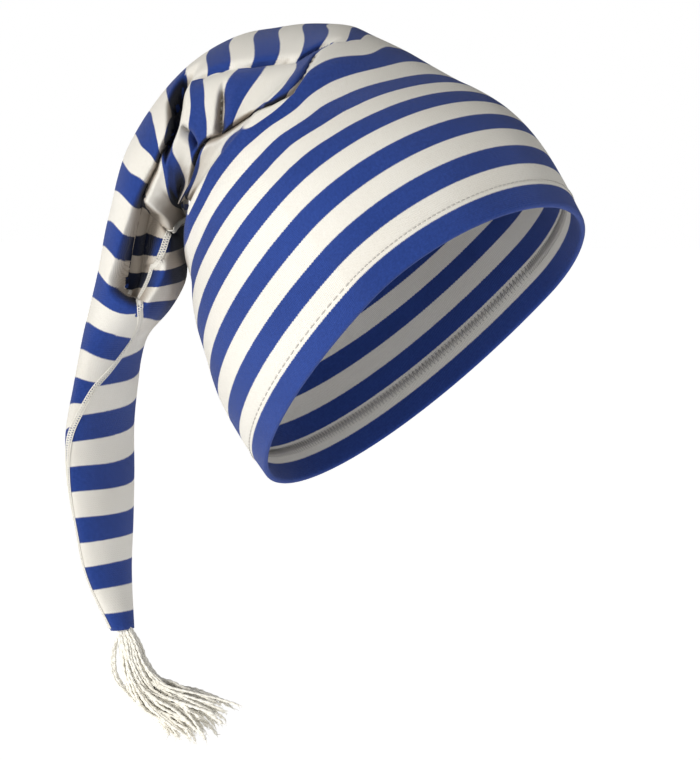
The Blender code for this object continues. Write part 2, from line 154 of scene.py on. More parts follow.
# How many stripes further along the cloth lies than the sections say: stripe, angle, shift
SHIFTS = (
    # crown
    (6, 0, 0), (6, 90, 0), (6, 180, 0), (6, 270, 0), (9, 0, 0), (9, 60, 0), (9, 120, 0), (9, 180, 0),
    (8, 290, 0.05), (8.7, 300, 0.3), (8.7, 270, 0.25), (8.9, 250, 0.1), (9.76, 340, 0.24), (9.8, 330, 0.2),
    (9.9, 317, 0.11), (9.8, 305, 0.25), (11.45, 313, -0.45), (11.47, 319, -0.47), (11.22, 325, -0.22),
    (11.05, 330, -0.05), (10.75, 335, 0.25), (12.3, 322, -0.5), (12.2, 326, -0.5), (11.9, 333, -0.2),
    (11.7, 340, 0.05), (11.22, 308, -0.4), (10.83, 306, -0.03), (10.36, 304, 0.4), (12.1, 338, 0.85),
    (12.6, 331, 0.9),
    # foot of the crown's crease
    (9.6, 288, 0.4), (9.6, 284, 0.4), (9.75, 272, 0.25), (9.75, 261, 0.25), (9.75, 252, 0.25),
    (9.75, 242, 0.25), (10.05, 299, 0.8), (10.1, 291, 0.9), (10.2, 283, 0.8), (10.5, 276, 0.55),
    (11.4, 267, -0.5), (12, 262, -1.1), (12.6, 257, -1.7), (13.5, 254, -2.5), (13.9, 250, -2.9),
    (13.3, 247, -2.6), (14.35, 246, -3.3), (14.45, 240, -3.3), (14.7, 233, -3.05), (15.7, 244, -3.85),
    (15.85, 238, -3.95), (11.4, 261, -0.6), (11.6, 255, -0.9), (12.4, 250, -1.8), (11.4, 250, -0.6),
    (12.4, 245, -1.6), (10.65, 250, 0.3), (10.5, 245, 0.5), (10.3, 241, 0.8), (11.4, 241, 0),
    (12.4, 237, -1), (13.5, 241, -2.7), (13.3, 232, -1.7), (15.8, 231, -3.7), (15.6, 224, -3.4),
    (15.3, 216, -3), (14.3, 227, -2.7), (14.2, 220, -2.6), (14.1, 214, -2.4), (13.9, 208, -2.2),
    # top edge and outer fold
    (12, 350, 0), (12.8, 349, 0.2), (13.9, 340, 0.15), (14.7, 333, 0.3), (15.6, 331, 0.4), (16.5, 325, 0.5),
    (17.4, 321, 0.65), (18.3, 320, 0.75), (19.1, 326, 0.85), (19.85, 304, 1.15), (20.8, 296, 1.15),
    (21.8, 289, 1.15), (23.2, 284, 0.8), (24.4, 284, 0.65), (25.7, 292, 0.3), (26.8, 295, 0.2),
    (28, 296, 0.05), (28.8, 304, 0.2), (28.85, 286, 0.15), (29.75, 284, 0.25), (30.7, 269, 0.3),
    (31.8, 264, 0.2), (32.8, 262, 0.2), (19.7, 290, 1.35), (20.1, 272, 1.8), (21.3, 262, 1.7),
    (22.8, 260, 1.15), (24.5, 262, 0.45), (26, 270, 0), (26.7, 288, 0.3), (26.9, 278, 0.1),
    (27.2, 280, -0.2), (27.45, 282, -0.4), (28.05, 284, -0.05), (28.4, 275, -0.4), (28.65, 265, -0.65),
    (28.75, 253, -0.75), (28.8, 242, -0.8), (28.9, 270, 0.1), (28.95, 262, 0.05), (29.05, 246, -0.05),
    (29.15, 236, -0.2), (29.15, 228, 0.2), (29.5, 222, -0.2), (29.8, 264, 0.2), (29.9, 246, 0.1),
    (30, 227, 0), (30.1, 207, -0.1), (30.9, 242, 0.1), (31.1, 222, 0), (31.9, 240, 0.1), (32.8, 254, 0.2),
    # ridge strip
    (13.1, 320, 0.9), (13.6, 306, 1.35), (14.8, 304, 1.2), (16, 306, 1), (16.9, 305, 1.05), (18, 308, 0.95),
    # near side
    (13.3, 299, 1.7), (15.1, 297, 0.9), (16.5, 296, 0.5), (18.1, 298, -0.1), (18.8, 300, 0.2),
    (12.6, 294, 2.4), (11.7, 292, 3.3), (11.6, 288, 3.4), (11.8, 282, 3.2), (13.4, 268, 1.6),
    (13.9, 264, 1.2), (15, 286, 1), (15.1, 274, 0.9), (14.9, 262, 1.1), (16.8, 286, 0.2), (16.3, 274, 0.7),
    (15.5, 260, 1.5), (15.1, 251, 1.9), (17.55, 279, 0.45), (16.75, 262, 1.25), (16.1, 248, 1.9),
    (18.6, 285, 0.4), (18.35, 269, 0.65), (18.1, 252, 0.9), (17.2, 238, 1.8), (16.65, 231, 2.35),
    # pocket and leaves
    (19.1, 305, 1.2), (18.95, 285, 1.3), (18.9, 272, 1.4), (20, 266, 0), (20, 257, 0), (19.1, 246, 0.9),
    (18.5, 235, 1.5), (18.05, 226, 1.95), (16.1, 206, 3.9), (20.37, 266, 0.63), (20.54, 255, 0.46),
    (20.9, 244, 0.1), (21.35, 233, -0.35), (22.3, 221, -1.3), (22.5, 212, -1.5), (21.7, 254, -0.2),
    (21.9, 243, -0.4), (22.5, 250, -1), (22.5, 230, -1), (23.4, 247, -1.8), (23.4, 239, -1.7),
    (23.6, 225, -2), (23.1, 210, -1.5), (23.8, 197, -2.2), (24.7, 209, -3), (22.1, 188, -0.5),
    (24, 252, -2.1), (24.3, 240, -2.4), (24.4, 226, -2.5), (21.5, 200, -0.8),
    # channel
    (24.9, 253, -1.4), (24.85, 233, -1.5), (25.2, 222, -1.65), (25.8, 258, -2.05), (26, 249, -1.95),
    (25.7, 226, -1.7), (26.9, 262, -1.9), (26.9, 243, -1.9), (26.75, 228, -1.75), (27.6, 266, -1.6),
    (27.6, 257, -1.6), (27.55, 233, -1.55), (28.3, 256, -1.3), (28.4, 240, -1.4), (25, 207, -1),
    (24.4, 184, -0.3), (26.5, 214, -1.5), (26.3, 205, -1.3), (26.1, 184, -1.1), (27.3, 220, -1.3),
    (27.2, 206, -1.2), (27, 190, -1), (28.15, 226, -1.15), (28, 218, -1), (27.9, 205, -0.9),
    (27.8, 190, -0.8), (28.75, 228, -0.75), (28.65, 220, -0.65), (28.6, 210, -0.6), (28.65, 197, -0.65),
    (29.15, 219, -0.15), (29.2, 208, -0.2), (29.3, 195, -0.3), (29.4, 180, -0.4),
    # tail below the channel, on the near side of the seam
    (30.2, 185, -0.55), (30.7, 170, -0.75), (31, 203, -1), (32, 208, -1), (31.8, 160, -0.85),
    (33.3, 222, -1.3), (33.3, 193, -1.25), (33, 150, -1.05), (34.4, 228, -1.45), (34.4, 187, -1.4),
    (34.2, 146, -1.2), (35.5, 238, -1.5), (35.5, 186, -1.55), (35.4, 148, -1.4), (36.6, 243, -1.55),
    (36.6, 188, -1.6), (36.5, 149, -1.55), (37.6, 240, -1.6), (37.6, 190, -1.65), (37.6, 150, -1.6),
    (38.6, 220, -1.65), (38.6, 160, -1.6), (39.6, 220, -1.65), (39.6, 160, -1.6), (40.5, 215, -1.5),
    (41.4, 240, -1.4), (41.4, 160, -1.4),
    # hem and lower crown, all round
    *((stripe, angle, 0) for stripe in (1, 3, 5, 7) for angle in range(0, 360, 30)),
    # hidden side of the tail
    *((stripe, angle, front + (rear - front) * share)
      for stripe, front, rear in BACK_SHIFTS for angle, share in BACK_PLACES),
    # crown under the hanging tail
    (8.2, 200, 0), (8.2, 220, 0), (8, 240, 0), (7.8, 260, 0), (9.2, 205, 0), (9.2, 222, 0),
    (10.2, 215, -0.1),
)
# How shifts spread: the two reaches of a row in mm, how stiffly the fitted planes lie level near rows and
# far from them, the faint pull of far rows, and the pull back to a shift of 0
BLENDS = (12.0, 6.0)
STIFF = 3.0
FLAT_FAR = 0.05
FAR = 0.002
PULL_TO_SECTIONS = 0.004
# A crease that splits the cloth: the distance put between its sides and how far from it this holds, in
# mm. The split starts over a share of the crease's beginning, which counts up to a longest one, and ends
# over a share of the path.
APART = 40.0
SPLIT_REACH = 20.0
SPLIT_BEGINS = 0.6
LONGEST_BEGINNING = 0.25
SPLIT_ENDS = 0.04


def smooth(t):
    """Ease from 0 to 1."""
    t = np.clip(t, 0, 1)
    return t * t * (3 - 2 * t)


def curve_between(t, width, start, end, start_slope, end_slope):
    """Points on a cubic curve between two ends a width apart, at shares t of the way."""
    return ((2 * t**3 - 3 * t**2 + 1) * start + (t**3 - 2 * t**2 + t) * width * start_slope
            + (3 * t**2 - 2 * t**3) * end + (t**3 - t**2) * width * end_slope)


def section_at(stripe):
    """The section at any stripe, on a smooth curve through the table's rows."""
    rows = np.array(SECTIONS, float)
    x, y = rows[:, 0], rows[:, 1:]
    step = np.diff(x)[:, None]
    slope = np.diff(y, axis=0) / step
    inner = (step[1:] * slope[:-1] + step[:-1] * slope[1:]) / (step[1:] + step[:-1])
    tangent = np.concatenate([slope[:1], inner, slope[-1:]])
    i = np.clip(np.searchsorted(x, stripe, side="right") - 1, 0, len(x) - 2)
    width = x[i + 1] - x[i]
    t = (stripe - x[i]) / width
    values = curve_between(t[..., None], width[..., None], y[i], y[i + 1], tangent[i], tangent[i + 1])
    return Section(values[..., :3], *np.moveaxis(values[..., 3:], -1, 0))


def tube_radius(section):
    """The tube's mean radius outside, in mm."""
    return np.sqrt((section.half**2 + section.outer**2) / 2)


def way_along(stripe, angle, radius, path):
    """The distance from a path in mm, the share of the path passed, and the side: 1 on the high side."""
    nearest = np.full(stripe.shape, np.inf)
    along = np.zeros(stripe.shape)
    side = np.ones(stripe.shape)
    legs = len(path) - 1
    for leg in range(legs):
        (stripe_0, angle_0), (stripe_1, angle_1) = path[leg], path[leg + 1]
        down = (stripe - stripe_0) * STRIPE
        across = np.radians((angle - angle_0 + 180) % 360 - 180) * radius
        leg_down = (stripe_1 - stripe_0) * STRIPE
        leg_across = np.radians(angle_1 - angle_0) * radius
        t = np.clip((down * leg_down + across * leg_across) / (leg_down**2 + leg_across**2), 0, 1)
        distance = np.hypot(down - t * leg_down, across - t * leg_across)
        closer = distance < nearest
        nearest = np.where(closer, distance, nearest)
        along = np.where(closer, (leg + t) / legs, along)
        side = np.where(closer, np.sign(leg_down * across - leg_across * down), side)
    return nearest, along, side


def fade(along, first, last):
    """1 along a path, easing to 0 over a share of it at both ends."""
    return smooth(along / first) * smooth((1 - along) / last)


def hill(distance, half_width):
    """1 at no distance, falling away to 0 in a bell."""
    return np.exp(-((distance / half_width) ** 2))


def fold_depth(stripe, angle, radius, inset):
    """How far creases press the cloth in: round shoulders over a narrow valley or a flat floor."""
    total = np.zeros(stripe.shape)
    for fold in FOLDS:
        distance, along, side = way_along(stripe, angle, radius, fold.path)
        high = side > 0
        width = np.where(high, fold.high_width, fold.low_width) + inset
        past_floor = np.clip(distance - np.where(high, fold.high_floor, fold.low_floor), 0, None)
        close = np.clip(1 - past_floor / width, 0, 1)
        total += (fold.depth * fade(along, fold.begins, fold.ends) * (1 - np.sqrt(1 - close**2))) ** 3
    raised = np.zeros(stripe.shape)
    for height, half_width, taper, path in SWELLS:
        distance, along, _ = way_along(stripe, angle, radius, path)
        raised += height * fade(along, taper, taper) * hill(distance, half_width)
    return np.cbrt(total) - raised


def cap_surface(stripe, angle, inset=0.0):
    """Points of the cap's outer skin in mm, or of a skin that lies inset below it."""
    section = section_at(stripe)
    tilt, turn, around = np.radians(section.tilt), np.radians(section.turn), np.radians(angle)
    outward = np.stack([np.sin(turn) * np.cos(tilt), -np.cos(turn) * np.cos(tilt), np.sin(tilt)], -1)
    sideways = np.stack([np.cos(turn), np.sin(turn), 0 * turn], -1)
    reach = np.where(np.cos(around) >= 0, section.outer, section.inner)
    arm = (outward * (reach * np.cos(around))[..., None]
           + sideways * (section.half * np.sin(around))[..., None])
    length = np.linalg.norm(arm, axis=-1)
    pressed = fold_depth(stripe, angle, tube_radius(section), inset) + inset
    return section.centre + arm * np.clip(1 - pressed / length, LEAST_REACH, None)[..., None]


def seam_angle(stripe):
    """The seam's angle at each stripe."""
    stripes, angles = zip(*SEAM)
    return np.interp(stripe, stripes, angles)


def cloth_place(stripe, angle):
    """The radius at points of the cloth, their angle within half a turn of the seam, and how far they lie
    to the high side of the seam and of each splitting crease, with how wholly it splits there."""
    radius = tube_radius(section_at(stripe))
    seam = seam_angle(stripe)
    off = (angle - seam + 180) % 360 - 180
    cuts = [(np.radians(off) * radius, np.ones(stripe.shape))]
    for fold in FOLDS:
        if fold.splits:
            distance, along, side = way_along(stripe, angle, radius, fold.path)
            near = smooth(2 - distance / SPLIT_REACH)
            first = SPLIT_BEGINS * min(fold.begins, LONGEST_BEGINNING)
            cuts.append((distance * np.where(side > 0, 1, -1), near * fade(along, first, SPLIT_ENDS)))
    return radius, seam + off, cuts


def stripe_phase(stripe, angle, forced=None, high=True):
    """The count of stripe edges passed, by the table of shifts, read widely and then corrected closely. A
    point forced at a cut counts as lying on the side asked for."""
    rows = np.array(SHIFTS, float)
    wanted = rows[:, 2]
    found = 0
    for blend in BLENDS:
        at_rows = shift_at(rows[:, 0], rows[:, 1], rows, wanted, blend)
        found = found + shift_at(stripe, angle, rows, wanted, blend, forced, high)
        wanted = wanted - at_rows
    return stripe + found


def shift_at(stripe, angle, rows, wanted, blend, forced=None, high=True):
    """The shift at points of the cloth, a sheet cut along its seam, by a small plane fitted to the rows
    round each point."""
    radius, place, cuts = cloth_place(stripe, angle)
    sides = [cut >= 0 for cut, _ in cuts]
    if forced is not None:
        sides = [np.where(mask, high, side) for mask, side in zip(forced, sides)]
    place = place + np.where(sides[0], 0, 360)
    _, row_place, row_cuts = cloth_place(rows[:, 0], rows[:, 1])
    row_place = row_place + np.where(row_cuts[0][0] >= 0, 0, 360)
    sums = np.zeros((9, *stripe.shape))
    for i, shift in enumerate(wanted):
        x = (rows[i, 0] - stripe) * STRIPE
        y = np.radians(row_place[i] - place) * radius
        square = x**2 + y**2
        for side, (_, split), (row_cut, row_split) in zip(sides[1:], cuts[1:], row_cuts[1:]):
            square = square + np.where(side == (row_cut[i] >= 0), 0, APART**2 * split * row_split[i])
        weight = np.exp(-square / (2 * blend**2)) + FAR * (1 + square / blend**2)**-2
        for term, value in enumerate((1, x, y, x * x, x * y, y * y, shift, shift * x, shift * y)):
            sums[term] += weight * value
    n, x, y, xx, xy, yy, s, sx, sy = sums
    stiff = n * STIFF**2 + FLAT_FAR
    n = n + FAR * PULL_TO_SECTIONS
    xx, yy = xx + stiff, yy + stiff
    whole = n * (xx * yy - xy**2) - x * (x * yy - xy * y) + y * (x * xy - xx * y)
    found = s * (xx * yy - xy**2) - x * (sx * yy - xy * sy) + y * (sx * xy - xx * sy)
    return found / whole


# Meshes. The columns crowd together a little towards one angle, and one of them follows the channel's edge
# along its first points, turning back over a few stripes before and after it.
COLUMNS = 200
CROWDING = 0.45
CROWDED_ANGLE = 255
FOLLOWED_POINTS = 7
FOLLOWING_EASE = 3
# Rows of the outer skin and of the inner skin: from stripe, to stripe, step
OUTER_ROWS = ((RIM_ROW, 1.2, 0.17), (1.2, 1.56, 0.045), (1.56, 10.6, 0.2), (10.6, 31.0, 0.09),
              (31.0, TIP, 0.16))
INNER_ROWS = ((RIM_ROW, 1.3, 0.29), (1.3, 1.8, 0.08), (1.8, 10.6, 0.4), (10.6, 31.0, 0.25),
              (31.0, HOLLOW_END, 0.6))
# Degrees between the rows that round the rim
RIM_STEP = 30


def spread(table):
    """Every stripe value that a table of spans asks for."""
    spans = [np.linspace(a, b, round((b - a) / step), endpoint=False) for a, b, step in table]
    return np.concatenate([*spans, [table[-1][1]]])


def add_object(name, data):
    """A new object in the scene."""
    thing = bpy.data.objects.new(name, data)
    bpy.context.scene.collection.objects.link(thing)
    return thing


def add_mesh(name, points, faces, material):
    """A smooth mesh object from points in mm."""
    mesh = bpy.data.meshes.new(name)
    mesh.from_pydata([tuple(p) for p in np.asarray(points) * MM], [], faces)
    mesh.materials.append(material)
    mesh.shade_smooth()
    mesh.update()
    return add_object(name, mesh)


def band(a, b, columns):
    """Quads between two rings whose first points are a and b."""
    return [(a + i, b + i, b + (i + 1) % columns, a + (i + 1) % columns) for i in range(columns)]


def ring_faces(rings, columns):
    """Quads of a tube of rings."""
    return [face for ring in range(rings - 1) for face in band(ring * columns, (ring + 1) * columns, columns)]


def column_turn(stripe, angles):
    """How far the columns of points turn, so that one of them runs along the channel's edge."""
    stripes, turns = zip(*CHANNEL_EDGE[:FOLLOWED_POINTS])
    middle = turns[FOLLOWED_POINTS // 2]
    on_edge = angles[np.abs(angles - middle).argmin()]
    places = [stripes[0] - FOLLOWING_EASE, *stripes, stripes[-1] + FOLLOWING_EASE]
    return np.interp(stripe, places, [0, *(turn - on_edge for turn in turns), 0])


def build_cap(material):
    """The cloth as one closed skin: up the outside, round the tip, and down the inside."""
    even = np.arange(COLUMNS) * 360 / COLUMNS
    angles = even + CROWDING * np.degrees(np.sin(np.radians(even - CROWDED_ANGLE + 180)))
    outer = spread(OUTER_ROWS)
    inner = spread(INNER_ROWS)[::-1]
    round_rim = np.radians(np.arange(RIM_STEP, 180, RIM_STEP))[::-1]
    stripe = np.concatenate([outer, inner, RIM_ROW * (1 - np.sin(round_rim))])
    hem = HEM_WALL + (WALL - HEM_WALL) * smooth((inner - HEM_TOP) / HEM_SLOPE)
    inset = np.concatenate([0 * outer, hem, HEM_WALL / 2 * (1 - np.cos(round_rim))])
    stripes, around = np.meshgrid(stripe, angles, indexing="ij")
    around = around + column_turn(stripes, angles)
    points = cap_surface(stripes, around, np.broadcast_to(inset[:, None], stripes.shape)).reshape(-1, 3)
    count = len(points)
    tip = (len(outer) - 1) * COLUMNS
    end = tip + COLUMNS
    faces = []
    for start in range(0, count, COLUMNS):
        if start != tip:
            faces += band(start, (start + COLUMNS) % count, COLUMNS)
    points = np.vstack([points, points[tip:end].mean(0), points[end:end + COLUMNS].mean(0)])
    faces += [(tip + i, count, tip + (i + 1) % COLUMNS) for i in range(COLUMNS)]
    faces += [(end + (i + 1) % COLUMNS, count + 1, end + i) for i in range(COLUMNS)]
    cap = add_mesh("cap_cloth", points, [face[::-1] for face in faces], material)
    dress(cap.data, np.append(stripes, [TIP, HOLLOW_END]), np.append(around, [0, 0]))
    return cap


# Rays sent out to find how sheltered the cloth is, a share that is painted into the cloth's colour as shade:
# rings of them, how far off it they start, how far they go, and the first stripe that sends them
SHELTER_RINGS = ((0.15, 4), (0.4, 7), (0.65, 9), (0.88, 10))
SHELTER_START = 0.4
SHELTER_REACH = 45.0
SHELTER_FROM = 9.0
# Folds that lie deep but get less painted shade: share of the painted shade taken off, half width, path
LESS_PAINTED_SHADE_FOLDS = (
    (0.75, 8, ((20.5, 245), (20, 232), (19.7, 205))),
    (0.6, 6, ((18.6, 262), (17.9, 254), (17.2, 245))),
)


def softened(sheet, axis):
    """Values along and round the tube, averaged with their neighbours on one axis."""
    places = np.arange(sheet.shape[axis])
    ends = "clip" if axis == 0 else "wrap"
    before, after = (sheet.take(places + step, axis, mode=ends) for step in (-1, 1))
    return (before + 2 * sheet + after) / 4


def blocked_view_for_painted_shade(mesh, stripe):
    """The share of the view out from each point of the tail's outside that other cloth blocks, painted into
    the cloth's colour as shade.
    """
    points = [vertex.co / MM for vertex in mesh.vertices]
    tree = BVHTree.FromPolygons(points, [tuple(face.vertices) for face in mesh.polygons])
    rows = len(spread(OUTER_ROWS))
    blocked = np.zeros(len(points))
    total = sum(count for _, count in SHELTER_RINGS)
    for number in range(rows * COLUMNS):
        if stripe[number] < SHELTER_FROM:
            continue
        normal = mesh.vertices[number].normal
        side = normal.orthogonal().normalized()
        other = normal.cross(side)
        start = points[number] + normal * SHELTER_START
        hits = 0
        for ring, count in SHELTER_RINGS:
            out, rise = math.sqrt(ring), math.sqrt(1 - ring)
            for step in range(count):
                turn = 2 * math.pi * (step + ring) / count
                way = normal * rise + (side * math.cos(turn) + other * math.sin(turn)) * out
                hits += tree.ray_cast(start, way, SHELTER_REACH)[0] is not None
        blocked[number] = hits / total
    sheet = blocked[:rows * COLUMNS].reshape(rows, COLUMNS)
    for axis in (0, 1, 0, 1):
        sheet = softened(sheet, axis)
    blocked[:rows * COLUMNS] = sheet.ravel()
    return blocked


# A face that spans more than this in mm across a cut lies behind the tube
WIDEST_CUT_FACE = 12


def numbers(items, key):
    """A whole number of each item of a mesh."""
    found = np.empty(len(items), int)
    items.foreach_get(key, found)
    return found


def corners_of(mesh):
    """The point and the face of every face corner, and each face's first corner and count of corners."""
    count = numbers(mesh.polygons, "loop_total")
    face = np.repeat(np.arange(len(count)), count)
    return numbers(mesh.loops, "vertex_index"), face, numbers(mesh.polygons, "loop_start"), count


def stripe_layers(stripe, angle, cuts, corners):
    """At each face corner the stripe phase on the high and on the low side of a cut, and the distance from
    it. The phases differ where the seam or a crease cuts the face."""
    point, face, first, _ = corners
    high = stripe_phase(stripe, angle)[point]
    low = high.copy()
    across = np.ones(len(point))
    crossed = []
    for cut, _ in cuts:
        cut = cut[point]
        least = np.minimum.reduceat(cut, first)
        most = np.maximum.reduceat(cut, first)
        here = ((least < 0) & (most >= 0) & (most - least < WIDEST_CUT_FACE))[face]
        across = np.where(here, cut, across)
        crossed.append(here)
    here = np.any(crossed, axis=0)
    forced = [mask[here] for mask in crossed]
    s, t = stripe[point][here], angle[point][here]
    high[here] = stripe_phase(s, t, forced, True)
    low[here] = stripe_phase(s, t, forced, False)
    return high, low, across


def laid_flat(stripe, angle, corners):
    """Where every corner lies on the flat cloth in mm, round the tube from the seam and along it."""
    point, face, first, count = corners
    s, t = stripe[point], angle[point]
    start = t[first][face]
    t = start + (t - start + 180) % 360 - 180
    middle = (np.bincount(face, t) / count)[face]
    seam = seam_angle(np.bincount(face, s) / count)[face]
    off = (middle - seam) % 360 - 180 + (t - middle) - (seam_angle(s) - seam)
    size = section_at(s)
    radius = np.sqrt((size.half**2 + (size.outer**2 + size.inner**2) / 2) / 2)
    return np.stack([np.radians(off) * radius, s * STRIPE], -1)


def dress(mesh, stripe, angle):
    """Gives the cloth its stripes, its painted shade where other cloth blocks the view out, and its knitting
    directions.
    """
    corners = corners_of(mesh)
    radius, _, cuts = cloth_place(stripe, angle)
    high, low, across = stripe_layers(stripe, angle, cuts, corners)
    # Painted shade: how much of the view out other cloth blocks, eased off along a few folds, stored for the
    # material to darken the colour by
    painted_shade = blocked_view_for_painted_shade(mesh, stripe)
    for share, half_width, path in LESS_PAINTED_SHADE_FOLDS:
        distance, _, _ = way_along(stripe, angle, radius, path)
        painted_shade = painted_shade * (1 - share * hill(distance, half_width))
    layers = {"phase_high": high, "phase_low": low, "cut": across, "painted_shade": painted_shade[corners[0]]}
    for name, values in layers.items():
        layer = mesh.attributes.new(name, "FLOAT", "CORNER")
        layer.data.foreach_set("value", values.astype(np.float32))
    uv = mesh.uv_layers.new(name="cloth")
    uv.data.foreach_set("uv", laid_flat(stripe, angle, corners).ravel().astype(np.float32))


# Materials
class Graph:
    """The nodes of a material or a world, joined by short calls."""

    def __init__(self, name, kind=bpy.data.materials):
        self.owner = kind.new(name)
        self.owner.use_nodes = True
        self.nodes = self.owner.node_tree.nodes
        self.links = self.owner.node_tree.links

    def put(self, value, socket):
        """Links an output to a socket, or sets the socket's own value."""
        if isinstance(value, bpy.types.NodeSocket):
            self.links.new(value, socket)
        else:
            socket.default_value = value

    def fill(self, node, values):
        """Puts values in a node: settings in small letters, and inputs with underscores for spaces."""
        for key, value in values.items():
            if key.islower():
                setattr(node, key, value)
            else:
                self.put(value, node.inputs[key.replace("_", " ")])

    def add(self, kind, output=0, **values):
        """One output of a new node."""
        node = self.nodes.new("ShaderNode" + kind)
        self.fill(node, values)
        return node.outputs[output]

    def join(self, kind, values, inputs, output=0, **settings):
        """One output of a new node with settings and numbered inputs."""
        result = self.add(kind, output, **settings)
        for value, number in zip(values, inputs):
            self.put(value, result.node.inputs[number])
        return result

    def math(self, operation, *values):
        """The result of one calculation."""
        return self.join("Math", values, range(3), operation=operation)

    def mix(self, *values):
        """A mix, from the share of the second colour and the two colours."""
        return self.join("Mix", values, (0, 6, 7), 2, data_type="RGBA")

    def noise(self, vector, scale, detail, roughness=0.5):
        """Soft random values round 0.5."""
        return self.add("TexNoise", Vector=vector, Scale=scale, Detail=detail, Roughness=roughness)

    def ramp(self, value, low, high, to_low=0.0, to_high=1.0):
        """A value stretched from one range to another, and held at its ends."""
        return self.join("MapRange", (value, low, high, to_low, to_high), range(5))

    def attribute(self, name):
        """A number stored on the mesh."""
        return self.add("Attribute", 2, attribute_name=name)

    def mottled(self, fine, wide, fine_share, dark, pale):
        """A colour between two tones, by a fine and a wide noise."""
        tone = self.math("MULTIPLY_ADD", fine, fine_share, self.math("MULTIPLY", wide, 1 - fine_share))
        return self.mix(self.ramp(tone, 0.35, 0.65), dark, pale)

    def finish(self, shader="Principled BSDF", **values):
        """The material or world, with values put in its shader."""
        self.fill(self.nodes[shader], values)
        return self.owner


BLUE = (0.024, 0.062, 0.29, 1)
BLUE_DEEP = (0.015, 0.042, 0.21, 1)
# Painted shade: the colour that blue cloth is darkened to in creases and recesses
BLUE_PAINTED_SHADE = (0.006, 0.010, 0.030, 1)
IVORY = (0.80, 0.765, 0.69, 1)
IVORY_PALE = (0.86, 0.835, 0.77, 1)
# Painted shade: the colour that ivory cloth is darkened to in creases and recesses
IVORY_PAINTED_SHADE = (0.46, 0.40, 0.33, 1)
# The knitting, in mm: width of a column of stitches, height of a row, sideways wander. Then a stitch's
# lean in rows for each column's width, and the height of the fibres against a stitch.
WALE = 1.15
COURSE = 0.92
WALE_WANDER = 0.5
LEAN = 1.5
FIBRE_HEIGHT = 0.30
# Edges of the stripes: steps of the stitches and wander, in stripes, then softness of edge and of cut
EDGE_STEP = 0.05
EDGE_WANDER = 0.05
EDGE_SOFT = 0.07
CUT_SOFT = 0.06
# Shares of the view blocked between which painted shade darkens the cloth to its shade colour
IVORY_SHADE_PAINT_RANGE = (0.28, 0.62)
BLUE_SHADE_PAINT_RANGE = (0.30, 0.64)


def knitting(g, cloth):
    """The height of the V stitches, from 0 to 1, and how far a point lies from the middle of its column."""
    across, along, _ = g.add("SeparateXYZ", Vector=cloth).node.outputs
    wander = g.math("MULTIPLY", g.noise(cloth, 0.35, 1.0), WALE_WANDER)
    wale = g.math("DIVIDE", g.math("ADD", across, wander), WALE)
    off = g.math("ABSOLUTE", g.math("SUBTRACT", g.math("FRACT", wale), 0.5))
    rise = g.math("MULTIPLY_ADD", off, LEAN, g.math("DIVIDE", along, COURSE))
    from_leg = g.math("ABSOLUTE", g.math("SUBTRACT", off, 0.25))
    leg = g.math("SUBTRACT", 1.0, g.math("POWER", g.math("MULTIPLY", from_leg, 4.0), 2.0))
    beat = g.math("MULTIPLY_ADD", g.math("COSINE", g.math("MULTIPLY", rise, 2 * math.pi)), 0.5, 0.5)
    return g.math("MULTIPLY", leg, g.math("MULTIPLY_ADD", beat, 0.55, 0.45)), off


def blueness(g, cloth, off):
    """1 on a blue stripe and 0 on an ivory one, by the count of stripe edges passed."""
    high, low = g.attribute("phase_high"), g.attribute("phase_low")
    side = g.ramp(g.attribute("cut"), -CUT_SOFT, CUT_SOFT)
    phase = g.math("MULTIPLY_ADD", side, g.math("SUBTRACT", high, low), low)
    edge = g.math("MULTIPLY_ADD", off, EDGE_STEP, phase)
    edge = g.math("MULTIPLY_ADD", g.noise(cloth, 1.4, 1.0), EDGE_WANDER, edge)
    wave = g.math("SINE", g.math("MULTIPLY", edge, math.pi))
    return g.ramp(wave, -EDGE_SOFT, EDGE_SOFT)


def jersey():
    """Knitted cotton: rows of small V stitches, in stripes that follow the cloth, with painted shade in its
    creases and between its stitches.
    """
    g = Graph("striped_jersey")
    cloth = g.add("UVMap", uv_map="cloth")
    place = g.add("TexCoord", output=3)
    stitch, off = knitting(g, cloth)
    height = g.math("MULTIPLY_ADD", g.noise(place, 2600.0, 3.0, 0.65), FIBRE_HEIGHT, stitch)
    heather = g.noise(place, 900.0, 4.0, 0.6)
    cloudy = g.noise(place, 22.0, 2.0)
    blue = g.mottled(heather, cloudy, 0.6, BLUE_DEEP, BLUE)
    ivory = g.mottled(heather, cloudy, 0.5, IVORY, IVORY_PALE)
    # Painted shade: both colours darken towards their shade colours where other cloth blocks the view out
    painted_shade = g.attribute("painted_shade")
    ivory = g.mix(g.ramp(painted_shade, *IVORY_SHADE_PAINT_RANGE), ivory, IVORY_PAINTED_SHADE)
    blue = g.mix(g.ramp(painted_shade, *BLUE_SHADE_PAINT_RANGE), blue, BLUE_PAINTED_SHADE)
    colour = g.mix(blueness(g, cloth, off), ivory, blue)
    # Painted shade: the colour darkens in the hollows between the stitches, where the stitch height is low
    between = g.ramp(stitch, 0.0, 0.55, 0.72, 1.0)
    shaded = g.add("VectorMath", operation="SCALE", Vector=colour, Scale=between)
    bump = g.add("Bump", Strength=0.55, Distance=0.00035, Height=height)
    return g.finish(Base_Color=shaded, Normal=bump, Roughness=0.92, Specular_IOR_Level=0.15,
                    Sheen_Weight=0.12, Sheen_Roughness=0.5)


